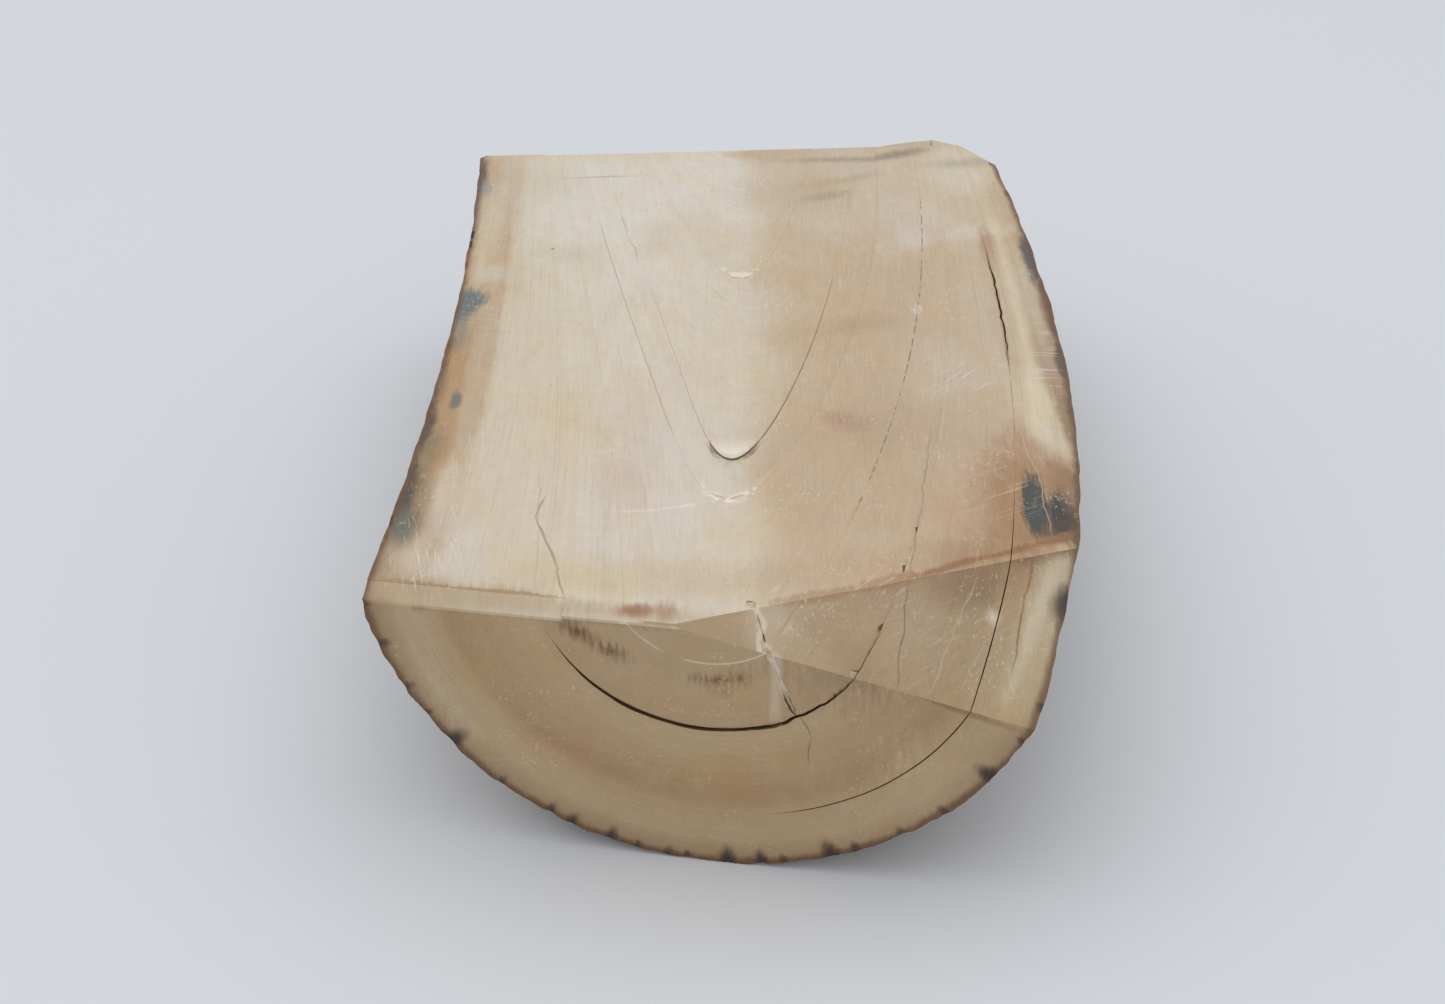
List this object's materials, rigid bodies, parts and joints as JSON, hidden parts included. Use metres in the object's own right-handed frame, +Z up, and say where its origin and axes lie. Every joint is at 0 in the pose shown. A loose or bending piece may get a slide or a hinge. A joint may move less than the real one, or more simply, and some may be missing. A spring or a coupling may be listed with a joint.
{
  "type": "sawn tusk block",
  "caption": "Half-round block sawn lengthwise from a fossil tusk: a flat polished face on top, a curved natural rind below, and sawn ends that show nested growth cones.",
  "frame": {"origin": "middle of the block's bounding box, on the surface that it lies on", "axes": "+Z up, out of the flat sawn face; +Y along the tusk, from the narrow end with the facet to the wide end; +X to the right seen from the narrow end"},
  "size_m": [0.1156, 0.1898, 0.0452],
  "materials": {
    "cementum": "matt stained rind",
    "outer_dentine": "sanded, satin",
    "dentine": "sanded, satin",
    "core_dentine": "sanded, satin"
  },
  "bodies": {
    "root": {"bark": "cementum", "outer_dentine": "outer_dentine", "rim_cone": "outer_dentine", "middle_cone": "dentine", "ring_cone": "dentine", "inner_cone": "dentine", "tongue_shell": "core_dentine", "tongue": "core_dentine", "core_tip": "core_dentine"}
  },
  "joints": []
}
